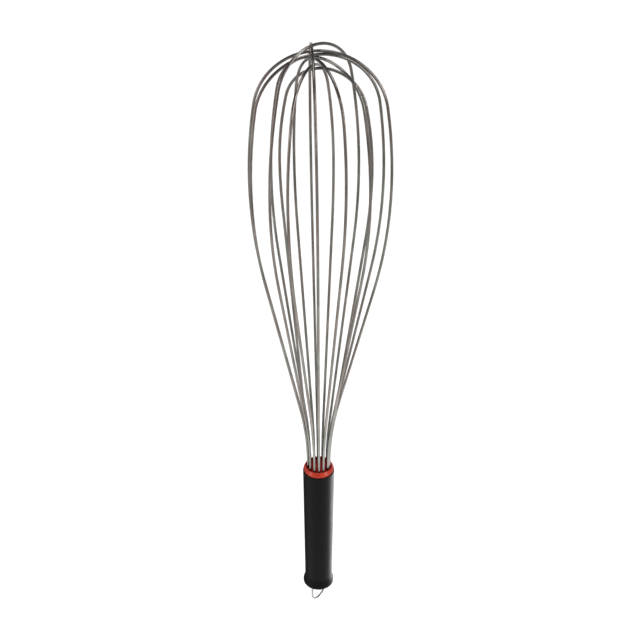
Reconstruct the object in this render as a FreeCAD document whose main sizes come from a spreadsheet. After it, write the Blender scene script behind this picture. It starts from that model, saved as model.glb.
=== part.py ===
"""Balloon whisk: eight stainless wire loops potted in a hollow composite handle.

Millimetres. The origin is the middle of the grip on the whisk's axis, and +Z runs along that axis
towards the wires. A loop's azimuth is the direction of its right leg, turned from +X about +Z.
"""
import FreeCAD, Part
import math
import os

import Sketcher

V = FreeCAD.Vector
Z_AXIS = V(0, 0, 1)
LENGTH_TOLERANCE = 0.01
VOLUME_TOLERANCE = 0.005

SIZES = [
    # wires
    ("wire_radius", 1.25), ("leg_ring_radius", 10.3), ("leg_bore_radius", 1.27),
    ("leg_foot_z", 14), ("leg_straight_top_z", 81),
    ("flare_bend_radius", 324), ("belly_radius", 450),
    ("crown_top_z", 506.5), ("crown_pitch", 2.9),
    # handle shell
    ("mouth_radius", 15.4), ("mouth_z", 74), ("waist_radius", 13.8), ("waist_z", -66),
    ("flare_radius", 15.6), ("flare_z", -72.3), ("butt_z", -76), ("bore_radius", 11.9),
    ("butt_lip_radius", 13.2), ("butt_lip_z", -74), ("mouth_edge_round", 0.9),
    ("butt_edge_round", 1.3), ("waist_round", 12),
    # collar
    ("plug_radius", 11.86), ("plug_foot_z", 62), ("collar_foot_radius", 14.4),
    ("collar_side_radius", 15.1), ("collar_side_z", 75.8),
    ("collar_lip_radius", 13.3), ("collar_lip_z", 79.2),
    ("collar_mouth_radius", 12.2), ("collar_dish_radius", 11.9), ("collar_dish_z", 77.2),
    ("collar_round", 1.8), ("collar_lip_round", 0.5),
    # guide disc, resin and end plug
    ("disc_thickness", 2), ("resin_foot_z", 10), ("resin_radius", 11.88),
    ("end_plug_top_z", -66), ("end_plug_face_z", -70),
    ("boss_length", 14.4), ("boss_width", 7), ("boss_root_depth", 1), ("bore_overrun", 1),
    # hanging loop
    ("bail_wire_radius", 1.0), ("bail_bore_radius", 1.05), ("bail_half_width", 9.7),
    ("bail_pivot_z", -73), ("bail_straight_end_z", -90.6), ("bail_bend_radius", 1.6),
    ("bail_pin_end", 4.2), ("bail_azimuth", 50),
]

# The loops are formed by hand, so each has its own reach. One row per loop: azimuth and sideways
# lean in degrees, reach of the left and right legs from the axis, height of the widest place, the
# crown arc's radius as a share of the mean reach, and the level at which the loop crosses the axis
# in the stack of crowns, counted down from the top.
LOOPS = [
    dict(azimuth=-3, lean=0, left=59, right=61, widest_z=385, fullness=0.92, level=2),
    dict(azimuth=12, lean=0, left=58, right=56, widest_z=385, fullness=0.92, level=3),
    dict(azimuth=39, lean=0, left=52, right=44, widest_z=380, fullness=0.8, level=0),
    dict(azimuth=68, lean=-0.6, left=58, right=42, widest_z=385, fullness=0.8, level=6),
    dict(azimuth=93, lean=-0.8, left=58, right=58, widest_z=390, fullness=0.84, level=1),
    dict(azimuth=-64, lean=0, left=50, right=50, widest_z=395, fullness=0.9, level=5),
    dict(azimuth=-34, lean=0, left=50, right=51, widest_z=380, fullness=0.86, level=4),
    dict(azimuth=-18, lean=0, left=35, right=46, widest_z=400, fullness=0.86, level=7),
]


def make_sheet(doc):
    sheet = doc.addObject("Spreadsheet::Sheet", "Sizes")
    for row, (name, value) in enumerate(SIZES, start=1):
        sheet.set(f"A{row}", name)
        sheet.set(f"B{row}", str(value))
        sheet.setAlias(f"B{row}", name)
    doc.recompute()
    return sheet


def size(doc, name):
    return float(doc.Sizes.get(name))


def origin_plane(body, role):
    return next(item for item in body.Origin.OriginFeatures if item.Role == role)


def outline_sketch(doc, body, corners):
    """Closed outline in the XZ plane, each corner held by two driving dimensions (or 0)."""
    sketch = body.newObject("Sketcher::SketchObject", body.Name + "_outline")
    sketch.AttachmentSupport = [(origin_plane(body, "XZ_Plane"), "")]
    sketch.MapMode = "FlatFace"
    places = [V(*(size(doc, name) if name else 0 for name in corner), 0) for corner in corners]
    for index, place in enumerate(places):
        sketch.addGeometry(Part.LineSegment(place, places[(index + 1) % len(places)]), False)
    count = len(places)
    for index in range(count):
        sketch.addConstraint(Sketcher.Constraint("Coincident", index, 2, (index + 1) % count, 1))
    for index, corner in enumerate(corners):
        for kind, name, value in zip(("DistanceX", "DistanceY"), corner, places[index]):
            number = sketch.addConstraint(Sketcher.Constraint(kind, -1, 1, index, 1, value))
            if name:
                sketch.setExpression(f"Constraints[{number}]", f"Sizes.{name}")
    return sketch


def turned_body(doc, name, corners):
    """Body of revolution about Z from an outline of (radius, height) corners."""
    body = doc.addObject("PartDesign::Body", name)
    sketch = outline_sketch(doc, body, corners)
    turn = body.newObject("PartDesign::Revolution", name + "_turn")
    turn.Profile = sketch
    turn.ReferenceAxis = (sketch, ["V_Axis"])
    turn.Angle = 360
    doc.recompute()
    return body


def round_rims(doc, body, rims, radius_name):
    """Fillet the circular edges at the given (radius, height) names."""
    base = body.Tip
    edges = []
    for number, edge in enumerate(base.Shape.Edges, start=1):
        if not isinstance(edge.Curve, Part.Circle):
            continue
        for rim_radius, rim_z in rims:
            near_radius = abs(edge.Curve.Radius - size(doc, rim_radius)) < LENGTH_TOLERANCE
            if near_radius and abs(edge.Curve.Center.z - size(doc, rim_z)) < LENGTH_TOLERANCE:
                edges.append(f"Edge{number}")
    fillet = body.newObject("PartDesign::Fillet", f"{body.Name}_{radius_name}")
    fillet.Base = (base, edges)
    fillet.Radius = size(doc, radius_name)
    fillet.setExpression("Radius", f"Sizes.{radius_name}")
    doc.recompute()


def loop_placement(doc, loop):
    """Turn about the axis, then lean sideways about the middle of the mouth."""
    turn = FreeCAD.Placement(V(), FreeCAD.Rotation(Z_AXIS, loop["azimuth"]))
    middle = V(0, 0, size(doc, "mouth_z"))
    lean = FreeCAD.Placement(V(), FreeCAD.Rotation(V(0, 1, 0), loop["lean"]), middle)
    return lean.multiply(turn)


def leg_edges(doc, loop, side):
    """Edges of one leg in the XZ plane from its foot to the crown; side is +1 right, -1 left.

    A straight foot, a bend outwards, a straight run, the belly, the side and half the crown,
    each tangent to the next. Distances across are measured from the crown arc's centre line.
    """
    half_width = (loop["left"] + loop["right"]) / 2
    shift = (loop["right"] - loop["left"]) / 2
    foot = size(doc, "leg_ring_radius") - side * shift
    straight_top = size(doc, "leg_straight_top_z")
    bend = size(doc, "flare_bend_radius")
    belly = size(doc, "belly_radius")
    crown = loop["fullness"] * half_width
    crossing_z = size(doc, "crown_top_z") - loop["level"] * size(doc, "crown_pitch")
    crown_z = crossing_z - math.sqrt(crown ** 2 - shift ** 2)
    widest_z = loop["widest_z"]
    rise = crown_z - widest_z
    flank = (half_width ** 2 + rise ** 2 - crown ** 2) / (2 * (half_width - crown))
    meeting = math.atan2(rise, flank - half_width)
    across = bend + belly - (half_width - foot)
    along = widest_z - straight_top
    tilt = math.atan2(along, across) - math.acos((bend + belly) / math.hypot(across, along))

    def point(out, height):
        return V(shift + side * out, 0, height)

    def arc(centre_out, centre_z, radius, start, end):
        angles = (start, (start + end) / 2, end)
        ends = [point(centre_out + radius * math.cos(a), centre_z + radius * math.sin(a)) for a in angles]
        return Part.Arc(*ends).toShape()

    bend_arc = arc(foot + bend, straight_top, bend, math.pi, math.pi - tilt)
    belly_arc = arc(half_width - belly, widest_z, belly, -tilt, 0)
    run = Part.LineSegment(bend_arc.Vertexes[-1].Point, belly_arc.Vertexes[0].Point)
    stem = Part.LineSegment(point(foot, size(doc, "leg_foot_z")), point(foot, straight_top))
    return [
        stem.toShape(), bend_arc, run.toShape(), belly_arc,
        arc(half_width - flank, widest_z, flank, 0, meeting),
        arc(0, crown_z, crown, meeting, math.pi / 2),
    ]


def swept_wire(doc, name, edges, placement, foot, foot_direction, radius_name):
    """Round wire along a path given in its own frame, then set in place."""
    path = doc.addObject("Part::Feature", name + "_path")
    path.Shape = Part.Wire(Part.__sortEdges__(edges))
    path.Placement = placement
    section = doc.addObject("Part::Circle", name + "_section")
    section.setExpression("Radius", f"Sizes.{radius_name}")
    turn = FreeCAD.Rotation(Z_AXIS, foot_direction)
    section.Placement = placement.multiply(FreeCAD.Placement(foot, turn))
    wire = doc.addObject("Part::Sweep", name)
    wire.Sections = [section]
    wire.Spine = (path, [f"Edge{n + 1}" for n in range(len(path.Shape.Edges))])
    wire.Solid = True
    wire.Frenet = False
    doc.recompute()
    length = path.Shape.Length
    expected = math.pi * size(doc, radius_name) ** 2 * length
    if abs(wire.Shape.Volume / expected - 1) > VOLUME_TOLERANCE:
        raise RuntimeError(f"{name}: volume {wire.Shape.Volume:.1f}, section times length {expected:.1f}")
    print(f"{name}: wire length {length:.0f} mm")
    return wire


def make_wire_loops(doc):
    loops = []
    for number, loop in enumerate(LOOPS, start=1):
        edges = leg_edges(doc, loop, -1) + leg_edges(doc, loop, 1)
        foot = V(-size(doc, "leg_ring_radius"), 0, size(doc, "leg_foot_z"))
        name = f"wire_loop_{number}"
        loops.append(swept_wire(doc, name, edges, loop_placement(doc, loop), foot, Z_AXIS, "wire_radius"))
    return loops


def leg_bores(doc):
    """Sixteen straight bores on the lines of the wires' legs."""
    bores = []
    for number, loop in enumerate(LOOPS, start=1):
        for side in (-1, 1):
            bore = doc.addObject("Part::Cylinder", f"leg_bore_{number}_{'left' if side < 0 else 'right'}")
            bore.setExpression("Radius", "Sizes.leg_bore_radius")
            bore.setExpression("Height", "Sizes.leg_straight_top_z - Sizes.leg_foot_z")
            foot = V(side * size(doc, "leg_ring_radius"), 0, size(doc, "leg_foot_z"))
            bore.Placement = loop_placement(doc, loop).multiply(FreeCAD.Placement(foot, FreeCAD.Rotation()))
            bores.append(bore)
    group = doc.addObject("Part::Compound", "leg_bores")
    group.Links = bores
    doc.recompute()
    return group


def with_leg_bores(doc, name, base, bores):
    cut = doc.addObject("Part::Cut", name)
    cut.Base = base
    cut.Tool = bores
    return cut


def plain_cylinder(doc, name, radius_name, foot_expression, height_expression):
    cylinder = doc.addObject("Part::Cylinder", name)
    cylinder.setExpression("Radius", f"Sizes.{radius_name}")
    cylinder.setExpression("Height", height_expression)
    cylinder.setExpression("Placement.Base.z", foot_expression)
    return cylinder


def make_handle_shell(doc):
    """Hollow tapered grip with a flared, rounded butt and a funnel-shaped recess under it."""
    body = turned_body(doc, "handle_shell", [
        ("bore_radius", "mouth_z"), ("mouth_radius", "mouth_z"), ("waist_radius", "waist_z"),
        ("flare_radius", "flare_z"), ("flare_radius", "butt_z"), ("butt_lip_radius", "butt_z"),
        ("bore_radius", "butt_lip_z"),
    ])
    round_rims(doc, body, [("waist_radius", "waist_z")], "waist_round")
    round_rims(doc, body, [("flare_radius", "butt_z"), ("flare_radius", "flare_z")], "butt_edge_round")
    round_rims(doc, body, [("mouth_radius", "mouth_z")], "mouth_edge_round")
    return body


def make_collar(doc, bores):
    """Red seal: a plug in the handle's mouth under a rounded rim with a shallow dish inside it."""
    body = turned_body(doc, "collar_blank", [
        ("", "plug_foot_z"), ("plug_radius", "plug_foot_z"), ("plug_radius", "mouth_z"),
        ("collar_foot_radius", "mouth_z"), ("collar_side_radius", "collar_side_z"),
        ("collar_lip_radius", "collar_lip_z"), ("collar_mouth_radius", "collar_lip_z"),
        ("collar_dish_radius", "collar_dish_z"), ("", "collar_dish_z"),
    ])
    round_rims(doc, body, [("collar_side_radius", "collar_side_z")], "collar_round")
    lips = [("collar_lip_radius", "collar_lip_z"), ("collar_mouth_radius", "collar_lip_z")]
    round_rims(doc, body, lips, "collar_lip_round")
    return with_leg_bores(doc, "collar_seal", body, bores)


def make_potting(doc, bores):
    """Steel guide disc under the collar, and the resin that holds the wires below it."""
    top = "Sizes.plug_foot_z"
    disc = plain_cylinder(doc, "guide_blank", "plug_radius", f"{top} - Sizes.disc_thickness",
                          "Sizes.disc_thickness")
    resin = plain_cylinder(doc, "resin_blank", "resin_radius", "Sizes.resin_foot_z",
                           f"{top} - Sizes.disc_thickness - Sizes.resin_foot_z")
    return [with_leg_bores(doc, "wire_guide_disc", disc, bores),
            with_leg_bores(doc, "potting_resin", resin, bores)]


def make_end_plug(doc):
    """Disc that closes the butt, with a cross-bored boss that carries the hanging loop."""
    disc = plain_cylinder(doc, "end_disc", "plug_radius", "Sizes.end_plug_face_z",
                          "Sizes.end_plug_top_z - Sizes.end_plug_face_z")
    across = FreeCAD.Rotation(Z_AXIS, size(doc, "bail_azimuth"))
    boss = doc.addObject("Part::Box", "end_boss")
    boss.setExpression("Length", "Sizes.boss_length")
    boss.setExpression("Width", "Sizes.boss_width")
    boss.setExpression("Height", "Sizes.end_plug_face_z - Sizes.butt_z + Sizes.boss_root_depth")
    corner = V(-size(doc, "boss_length") / 2, -size(doc, "boss_width") / 2, size(doc, "butt_z"))
    boss.Placement = FreeCAD.Placement(across.multVec(corner), across)
    blank = doc.addObject("Part::Fuse", "end_blank")
    blank.Base = disc
    blank.Tool = boss
    bore = doc.addObject("Part::Cylinder", "end_bore")
    bore.setExpression("Radius", "Sizes.bail_bore_radius")
    bore.setExpression("Height", "Sizes.boss_length + 2 * Sizes.bore_overrun")
    along = across.multiply(FreeCAD.Rotation(V(0, 1, 0), 90))
    start = V(-size(doc, "boss_length") / 2 - size(doc, "bore_overrun"), 0, size(doc, "bail_pivot_z"))
    bore.Placement = FreeCAD.Placement(across.multVec(start), along)
    plug = doc.addObject("Part::Cut", "end_plug")
    plug.Base = blank
    plug.Tool = bore
    doc.recompute()
    return plug


def make_hanging_loop(doc):
    """U of wire whose two ends turn inwards as the pins that it swings on."""
    half = size(doc, "bail_half_width")
    bend = size(doc, "bail_bend_radius")
    pin = size(doc, "bail_pin_end")
    pivot = size(doc, "bail_pivot_z")
    low = size(doc, "bail_straight_end_z")
    diagonal = bend * (1 - math.sqrt(0.5))
    edges = [Part.Arc(V(-half, 0, low), V(0, 0, low - half), V(half, 0, low)).toShape()]
    for side in (-1, 1):
        pin_root = V(side * (half - bend), 0, pivot)
        leg_top = V(side * half, 0, pivot - bend)
        elbow = V(side * (half - diagonal), 0, pivot - diagonal)
        edges.append(Part.LineSegment(V(side * pin, 0, pivot), pin_root).toShape())
        edges.append(Part.Arc(pin_root, elbow, leg_top).toShape())
        edges.append(Part.LineSegment(leg_top, V(side * half, 0, low)).toShape())
    place = FreeCAD.Placement(V(), FreeCAD.Rotation(Z_AXIS, size(doc, "bail_azimuth")))
    return swept_wire(doc, "hanging_loop", edges, place, V(-pin, 0, pivot), V(1, 0, 0), "bail_wire_radius")


def check_document(doc, pieces):
    for item in doc.Objects:
        if "Invalid" in item.State or "Error" in item.State:
            raise RuntimeError(f"{item.Name} failed: {item.State}")
    for piece in pieces:
        if piece.Shape.isNull() or not piece.Shape.isValid() or len(piece.Shape.Solids) != 1:
            raise RuntimeError(f"{piece.Name}: not one valid solid")


def main():
    doc = FreeCAD.newDocument("balloon_whisk")
    make_sheet(doc)
    bores = leg_bores(doc)
    pieces = make_wire_loops(doc) + make_potting(doc, bores)
    pieces += [make_handle_shell(doc), make_collar(doc, bores), make_end_plug(doc),
               make_hanging_loop(doc)]
    doc.recompute()
    check_document(doc, pieces)
    os.makedirs("parts", exist_ok=True)
    for piece in pieces:
        piece.Label = piece.Name
        piece.Shape.exportStep(f"parts/{piece.Label}.step")
    return pieces


main()
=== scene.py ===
"""Looks of the balloon whisk: drawn stainless wires, a moulded black grip and a red seal."""

import math

import bpy
from mathutils import Euler, Matrix, Vector


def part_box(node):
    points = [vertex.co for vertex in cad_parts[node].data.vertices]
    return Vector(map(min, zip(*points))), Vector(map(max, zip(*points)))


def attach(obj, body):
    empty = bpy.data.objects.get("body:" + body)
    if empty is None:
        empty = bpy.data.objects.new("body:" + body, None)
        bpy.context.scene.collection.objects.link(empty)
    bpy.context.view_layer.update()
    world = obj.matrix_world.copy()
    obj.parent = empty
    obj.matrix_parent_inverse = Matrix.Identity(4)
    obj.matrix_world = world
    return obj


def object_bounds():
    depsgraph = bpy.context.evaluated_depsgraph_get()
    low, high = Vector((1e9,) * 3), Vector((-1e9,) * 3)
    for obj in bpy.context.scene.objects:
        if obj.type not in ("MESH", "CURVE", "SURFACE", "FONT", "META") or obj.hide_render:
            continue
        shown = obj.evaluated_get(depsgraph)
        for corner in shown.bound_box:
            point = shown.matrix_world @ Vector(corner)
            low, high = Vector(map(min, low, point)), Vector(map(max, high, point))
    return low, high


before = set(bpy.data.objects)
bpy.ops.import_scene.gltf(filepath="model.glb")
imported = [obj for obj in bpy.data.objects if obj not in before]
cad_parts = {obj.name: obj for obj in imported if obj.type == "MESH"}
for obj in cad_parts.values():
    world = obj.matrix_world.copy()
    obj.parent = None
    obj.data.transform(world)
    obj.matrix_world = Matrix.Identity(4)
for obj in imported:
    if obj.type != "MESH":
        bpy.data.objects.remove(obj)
cad_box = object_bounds()

WIRES = [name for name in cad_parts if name.startswith("wire_loop")]
WIRE_RADIUS = 0.00125

# A Mix node has the same three sockets for each kind of value, and these are its colour ones.
MIX_COLOUR_A, MIX_COLOUR_B, MIX_COLOUR_RESULT = 6, 7, 2
NOISE_MIDDLE = (0.3, 0.7)


# --- small node helpers -------------------------------------------------------------------------

def new_material(name):
    material = bpy.data.materials.new(name)
    material.use_nodes = True
    nodes = material.node_tree.nodes
    return material, nodes, material.node_tree.links, nodes["Principled BSDF"]


def stretched_coordinates(nodes, links, scale):
    """Object coordinates in metres, scaled along each axis."""
    place = nodes.new("ShaderNodeTexCoord")
    stretch = nodes.new("ShaderNodeMapping")
    stretch.inputs["Scale"].default_value = scale
    links.new(place.outputs["Object"], stretch.inputs["Vector"])
    return stretch.outputs["Vector"]


def plane_coordinates(nodes, links, azimuth, across, along):
    """Object coordinates turned into a wire's own upright plane, then scaled.

    The wire lies in that plane, so a pattern that is fine across it and coarse within it runs
    along the wire however the wire bends.
    """
    place = nodes.new("ShaderNodeTexCoord")
    turn = nodes.new("ShaderNodeVectorRotate")
    turn.rotation_type = "Z_AXIS"
    turn.inputs["Angle"].default_value = -azimuth
    links.new(place.outputs["Object"], turn.inputs["Vector"])
    stretch = nodes.new("ShaderNodeMapping")
    stretch.inputs["Scale"].default_value = (along, across, along)
    links.new(turn.outputs["Vector"], stretch.inputs["Vector"])
    return stretch.outputs["Vector"]


def noise(nodes, links, vector, scale, detail=3.0, roughness=0.55):
    texture = nodes.new("ShaderNodeTexNoise")
    texture.inputs["Scale"].default_value = scale
    texture.inputs["Detail"].default_value = detail
    texture.inputs["Roughness"].default_value = roughness
    links.new(vector, texture.inputs["Vector"])
    return texture.outputs["Fac"]


def ramp(nodes, links, factor, stops):
    """Colour ramp from (place, colour) stops in rising order."""
    node = nodes.new("ShaderNodeValToRGB")
    elements = node.color_ramp.elements
    for place, colour in stops[1:-1]:
        elements.new(place).color = (*colour, 1)
    for element, (place, colour) in zip((elements[0], elements[-1]), (stops[0], stops[-1])):
        element.position = place
        element.color = (*colour, 1)
    links.new(factor, node.inputs["Fac"])
    return node.outputs["Color"]


def bump(nodes, links, layers, shader):
    """Stacks (height, strength, distance) layers into the shader's normal."""
    normal = None
    for height, strength, distance in layers:
        node = nodes.new("ShaderNodeBump")
        node.inputs["Strength"].default_value = strength
        node.inputs["Distance"].default_value = distance
        links.new(height, node.inputs["Height"])
        if normal is not None:
            links.new(normal, node.inputs["Normal"])
        normal = node.outputs["Normal"]
    links.new(normal, shader.inputs["Normal"])


def multiplied(nodes, links, strength, first, second):
    """First colour darkened by the second, as far as strength says."""
    node = nodes.new("ShaderNodeMix")
    node.data_type = "RGBA"
    node.blend_type = "MULTIPLY"
    node.inputs["Factor"].default_value = strength
    links.new(first, node.inputs[MIX_COLOUR_A])
    links.new(second, node.inputs[MIX_COLOUR_B])
    return node.outputs[MIX_COLOUR_RESULT]


def rescaled(nodes, links, value, source, target=(0, 1)):
    """Value mapped from the source range onto the target range, and held within it."""
    node = nodes.new("ShaderNodeMapRange")
    node.inputs["From Min"].default_value, node.inputs["From Max"].default_value = source
    node.inputs["To Min"].default_value, node.inputs["To Max"].default_value = target
    links.new(value, node.inputs["Value"])
    return node.outputs["Result"]


def spread(nodes, links, factor, low, high):
    """The middle of a noise's range, spread over values from low to high."""
    return rescaled(nodes, links, factor, NOISE_MIDDLE, (low, high))


def along_axis(nodes, links, low, high):
    """0 at height low and 1 at height high, in metres up the whisk's axis."""
    place = nodes.new("ShaderNodeTexCoord")
    parts = nodes.new("ShaderNodeSeparateXYZ")
    links.new(place.outputs["Object"], parts.inputs["Vector"])
    return rescaled(nodes, links, parts.outputs["Z"], (low, high))


def from_axis(nodes, links, inner, outer):
    """0 within the inner radius and 1 beyond the outer, in metres from the whisk's axis."""
    flat = stretched_coordinates(nodes, links, (1, 1, 0))
    length = nodes.new("ShaderNodeVectorMath")
    length.operation = "LENGTH"
    links.new(flat, length.inputs[0])
    return rescaled(nodes, links, length.outputs["Value"], (inner, outer))


# --- materials ----------------------------------------------------------------------------------

def stainless(name, tones, roughness, azimuth=0.0, heights=None):
    """Drawn wire: dull and bright streaks along it, brownish heat tint, fine scratches.

    tones runs from the dullest to the brightest colour, and azimuth is that of the wire's plane.
    With heights, painted shade darkens the wire from the first height to the second, standing in
    for the darker reflections towards the top of the bowl.
    """
    material, nodes, links, shader = new_material(name)
    even = stretched_coordinates(nodes, links, (1, 1, 1))
    streaks = noise(nodes, links, plane_coordinates(nodes, links, azimuth, 1, 0.02), 1900)
    patches = noise(nodes, links, even, 34, 4)
    tint = noise(nodes, links, even, 13, 3)
    scratches = noise(nodes, links, plane_coordinates(nodes, links, azimuth, 1, 0.1), 5200, 2)
    colour = ramp(nodes, links, patches, [(0.32, tones[0]), (0.5, tones[1]), (0.7, tones[2])])
    streaky = ramp(nodes, links, streaks, [(0.36, (0.66, 0.64, 0.63)), (0.62, (1, 1, 1))])
    colour = multiplied(nodes, links, 0.8, colour, streaky)
    warm = ramp(nodes, links, tint, [(0.4, (0.94, 1.0, 0.97)), (0.64, (1.0, 0.86, 0.82))])
    colour = multiplied(nodes, links, 0.85, colour, warm)
    if heights:
        # Painted shade: the wire's colour grows darker up the bowl in place of its darker
        # reflections there.
        painted_shade_up_bowl = ramp(nodes, links, along_axis(nodes, links, *heights),
                      [(0.0, (1, 1, 1)), (0.55, (0.66, 0.64, 0.63)), (1.0, (0.44, 0.41, 0.41))])
        colour = multiplied(nodes, links, 1.0, colour, painted_shade_up_bowl)
    links.new(colour, shader.inputs["Base Color"])
    roughest = roughness + 0.16
    links.new(spread(nodes, links, streaks, roughness, roughest), shader.inputs["Roughness"])
    bump(nodes, links, [(streaks, 0.2, 0.0001), (scratches, 0.1, 0.00005)], shader)
    shader.inputs["Metallic"].default_value = 1.0
    return material


def moulded_black():
    """Semi-matte composite: fine spark texture, soft handling wear and faint scuffs."""
    material, nodes, links, shader = new_material("moulded_black")
    even = stretched_coordinates(nodes, links, (1, 1, 1))
    grain = noise(nodes, links, even, 1700, 2)
    wear = noise(nodes, links, even, 45, 5)
    scuffs = noise(nodes, links, stretched_coordinates(nodes, links, (1, 1, 0.12)), 420, 2)
    colour = ramp(nodes, links, wear,
                  [(0.3, (0.0024, 0.0024, 0.0027)), (0.75, (0.0048, 0.0045, 0.0043))])
    links.new(colour, shader.inputs["Base Color"])
    links.new(spread(nodes, links, wear, 0.42, 0.54), shader.inputs["Roughness"])
    bump(nodes, links, [(grain, 0.25, 0.0001), (scuffs, 0.12, 0.0001)], shader)
    shader.inputs["Specular IOR Level"].default_value = 0.06
    return material


def red_seal():
    """Red-orange moulded seal, soft shine, with painted shade darkening the dish where the wires
    leave it.
    """
    material, nodes, links, shader = new_material("red_seal")
    even = stretched_coordinates(nodes, links, (1, 1, 1))
    cloud = noise(nodes, links, even, 90, 3)
    grain = noise(nodes, links, even, 1300, 2)
    colour = ramp(nodes, links, cloud, [(0.3, (0.25, 0.014, 0.009)), (0.7, (0.40, 0.036, 0.010))])
    # Painted shade: the dish among the wire legs is darkened as if shaded by them.
    dish = ramp(nodes, links, from_axis(nodes, links, 0.0112, 0.0126),
                [(0.0, (0.62, 0.30, 0.40)), (1.0, (1, 1, 1))])
    links.new(multiplied(nodes, links, 1.0, colour, dish), shader.inputs["Base Color"])
    links.new(spread(nodes, links, cloud, 0.2, 0.3), shader.inputs["Roughness"])
    bump(nodes, links, [(grain, 0.12, 0.0001)], shader)
    shader.inputs["Specular IOR Level"].default_value = 0.2
    return material


def cast_resin():
    material, nodes, links, shader = new_material("cast_resin")
    bubbles = noise(nodes, links, stretched_coordinates(nodes, links, (1, 1, 1)), 300, 4)
    colour = ramp(nodes, links, bubbles, [(0.3, (0.40, 0.27, 0.11)), (0.7, (0.58, 0.44, 0.22))])
    links.new(colour, shader.inputs["Base Color"])
    links.new(spread(nodes, links, bubbles, 0.2, 0.4), shader.inputs["Roughness"])
    bump(nodes, links, [(bubbles, 0.2, 0.0003)], shader)
    return material


# --- places worked out from the frame -----------------------------------------------------------

def leg_centres(node, height):
    """Centres of a wire's two legs, from the rings of vertices nearest a height.

    The legs stand on opposite sides of the axis, so the sign of the level part of a dot product
    tells them apart.
    """
    ring_depth = 0.0005
    points = [vertex.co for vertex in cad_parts[node].data.vertices]
    nearest = min(abs(point.z - height) for point in points)
    ring = [point for point in points if abs(point.z - height) < nearest + ring_depth]
    first = [point for point in ring if point.xy.dot(ring[0].xy) > 0]
    second = [point for point in ring if point.xy.dot(ring[0].xy) <= 0]
    return [sum(group, Vector()) / len(group) for group in (first, second)]


def plane_azimuth(node, height):
    """Direction of a wire's upright plane about Z, from its two legs at a height."""
    first, second = leg_centres(node, height)
    return math.atan2(second.y - first.y, second.x - first.x)


# --- seal around each wire ----------------------------------------------------------------------

def meniscus_profile(climb, sunk, steps):
    """Closed (out, up) outline of one fillet, from inside the wire round the hollow curve."""
    profile = [(WIRE_RADIUS - sunk, -sunk), (WIRE_RADIUS + climb, -sunk)]
    for step in range(steps + 1):
        angle = step / steps * math.pi / 2
        out = WIRE_RADIUS + climb * (1 - math.sin(angle))
        profile.append((out, climb * (1 - math.cos(angle))))
    profile.append((WIRE_RADIUS - sunk, climb))
    return profile


def seal_menisci():
    """Small concave fillets of seal material where each leg leaves the collar's dish."""
    dish_radius = 0.0115
    collar_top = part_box("collar_seal")[1].z
    collar = [vertex.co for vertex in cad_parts["collar_seal"].data.vertices]
    dish = max(point.z for point in collar if point.xy.length < dish_radius)
    profile = meniscus_profile(climb=0.0008, sunk=0.0003, steps=6)
    count = len(profile)
    sectors = 28
    vertices, faces = [], []
    for centre in (centre for wire in WIRES for centre in leg_centres(wire, collar_top)):
        base = len(vertices)
        for sector in range(sectors):
            turn = 2 * math.pi * sector / sectors
            for out, up in profile:
                vertices.append((centre.x + out * math.cos(turn),
                                 centre.y + out * math.sin(turn), dish + up))
        for sector in range(sectors):
            here = base + sector * count
            there = base + (sector + 1) % sectors * count
            for step in range(count):
                after = (step + 1) % count
                faces.append((here + step, there + step, there + after, here + after))
    mesh = bpy.data.meshes.new("seal_menisci")
    mesh.from_pydata(vertices, [], faces)
    mesh.polygons.foreach_set("use_smooth", [True] * len(faces))
    piece = bpy.data.objects.new("seal_menisci", mesh)
    bpy.context.scene.collection.objects.link(piece)
    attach(piece, "whisk")
    return piece


# --- dressing -----------------------------------------------------------------------------------

def dress(names, material):
    for name in names:
        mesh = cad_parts[name].data
        mesh.materials.clear()
        mesh.materials.append(material)


def dress_all():
    # The painted shade on the wires runs between these heights, darkest at the top of the bowl.
    heights = (cad_box[1][2] * 0.2, cad_box[1][2])
    wire_tones = ((0.215, 0.205, 0.19), (0.295, 0.283, 0.265), (0.385, 0.372, 0.35))
    loop_tones = ((0.26, 0.25, 0.24), (0.36, 0.35, 0.34), (0.5, 0.49, 0.48))
    disc_tones = ((0.4, 0.4, 0.4), (0.5, 0.5, 0.5), (0.6, 0.6, 0.6))
    collar_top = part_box("collar_seal")[1].z
    for wire in WIRES:
        name = wire.replace("wire_loop", "stainless_wire")
        dress([wire], stainless(name, wire_tones, 0.16, plane_azimuth(wire, collar_top), heights))
    low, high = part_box("hanging_loop")
    loop_azimuth = plane_azimuth("hanging_loop", (low.z + high.z) / 2)
    dress(["hanging_loop"], stainless("loop_steel", loop_tones, 0.18, loop_azimuth))
    dress(["wire_guide_disc"], stainless("disc_steel", disc_tones, 0.3))
    black = moulded_black()
    dress(["handle_shell"], black)
    dress(["end_plug"], black)
    red = red_seal()
    dress(["collar_seal"], red)
    seal_menisci().data.materials.append(red)
    dress(["potting_resin"], cast_resin())


# --- stage, light and camera --------------------------------------------------------------------

def stage_card(name, width, height, level=0.0):
    """Flat rectangle in the stage, centred on its own origin but for its level."""
    corners = [(x * width / 2, y * height / 2, level)
               for x, y in ((-1, -1), (1, -1), (1, 1), (-1, 1))]
    mesh = bpy.data.meshes.new(name)
    mesh.from_pydata(corners, [], [(0, 1, 2, 3)])
    card = bpy.data.objects.new(name, mesh)
    bpy.context.scene.collection.objects.link(card)
    return card


def facing(place, aim):
    """Rotation that turns an object's -Z from its place towards aim."""
    return (Vector(aim) - Vector(place)).to_track_quat("-Z", "Y").to_euler()


def pale_floor():
    """Plain pale floor well below the hand-held whisk."""
    drop = 0.5
    side = 24.0
    floor = stage_card("floor", side, side, cad_box[0][2] - drop)
    material, _, _, shader = new_material("pale_floor")
    shader.inputs["Base Color"].default_value = (0.93, 0.93, 0.93, 1)
    shader.inputs["Roughness"].default_value = 0.9
    floor.data.materials.append(material)


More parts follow.
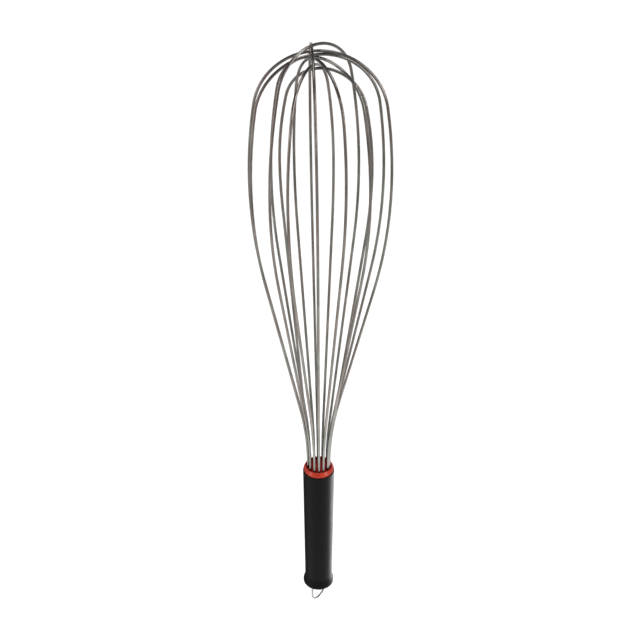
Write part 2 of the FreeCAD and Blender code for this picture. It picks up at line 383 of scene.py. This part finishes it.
def area_light(name, place, aim, width, height, power, receivers=None):
    """Soft box facing aim; with receivers, it lights only those nodes."""
    light = bpy.data.lights.new(name, "AREA")
    light.shape = "RECTANGLE"
    light.size = width
    light.size_y = height
    light.energy = power
    lamp = bpy.data.objects.new(name, light)
    lamp.location = place
    lamp.visible_camera = False
    lamp.rotation_euler = facing(place, aim)
    bpy.context.scene.collection.objects.link(lamp)
    if receivers:
        lit = bpy.data.collections.new(name + "_receivers")
        for node in receivers:
            lit.objects.link(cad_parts[node])
        lamp.light_linking.receiver_collection = lit


def black_flag(name, place, aim, width, height):
    """Black card that only reflections see, which gives bright metal a dark edge."""
    card = stage_card(name, width, height)
    material, _, _, shader = new_material(name)
    shader.inputs["Base Color"].default_value = (0.01, 0.01, 0.01, 1)
    card.data.materials.append(material)
    card.location = place
    card.rotation_euler = facing(place, aim)
    card.visible_camera = False
    card.visible_diffuse = False
    card.visible_shadow = False


def soft_world():
    """Pale room whose light fades towards a darker ceiling."""
    world = bpy.data.worlds.new("soft_studio")
    world.use_nodes = True
    nodes = world.node_tree.nodes
    links = world.node_tree.links
    place = nodes.new("ShaderNodeTexCoord")
    parts = nodes.new("ShaderNodeSeparateXYZ")
    links.new(place.outputs["Generated"], parts.inputs["Vector"])
    sky = ramp(nodes, links, parts.outputs["Z"],
               [(0.0, (1, 1, 1)), (0.05, (1, 1, 1)), (0.3, (0.6, 0.6, 0.6)),
                (0.8, (0.16, 0.16, 0.17))])
    links.new(sky, nodes["Background"].inputs["Color"])
    bpy.context.scene.world = world


def light_stage():
    soft_world()
    middle = (0, 0, 0.1)
    area_light("key_right", (1.3, -0.9, 0.9), middle, 0.35, 1.4, 22)
    area_light("fill_left", (-1.5, -0.9, 0.5), middle, 0.3, 1.2, 11)
    area_light("rim_right", (0.56, 0.36, -0.36), (0, 0, 0), 0.5, 0.5, 7.5, ["handle_shell"])
    black_flag("flag_left", (-0.40, 0.36, -0.34), (0, 0, 0.05), 0.5, 0.7)
    sun = bpy.data.lights.new("overhead", "SUN")
    sun.energy = 2.4
    sun.angle = math.radians(40)
    bpy.context.scene.collection.objects.link(bpy.data.objects.new("overhead", sun))
    bpy.context.scene.view_settings.view_transform = "Standard"


def place_camera():
    """Looks down at the whisk from the front, standing a little under a metre away."""
    distance = 0.911
    height = 0.835
    sideways = 0.001
    pitch = math.radians(32.8)
    roll = math.radians(0.12)
    camera_data = bpy.data.cameras.new("camera")
    camera_data.sensor_width = 36
    camera_data.lens = 67.5
    camera_data.clip_end = 100
    camera = bpy.data.objects.new("camera", camera_data)
    camera.location = (sideways, -distance, height)
    camera.rotation_euler = (Euler((math.pi / 2 - pitch, 0, 0)).to_matrix()
                             @ Matrix.Rotation(roll, 3, "Z")).to_euler()
    bpy.context.scene.collection.objects.link(camera)
    bpy.context.scene.camera = camera


place_camera()
light_stage()
pale_floor()
dress_all()
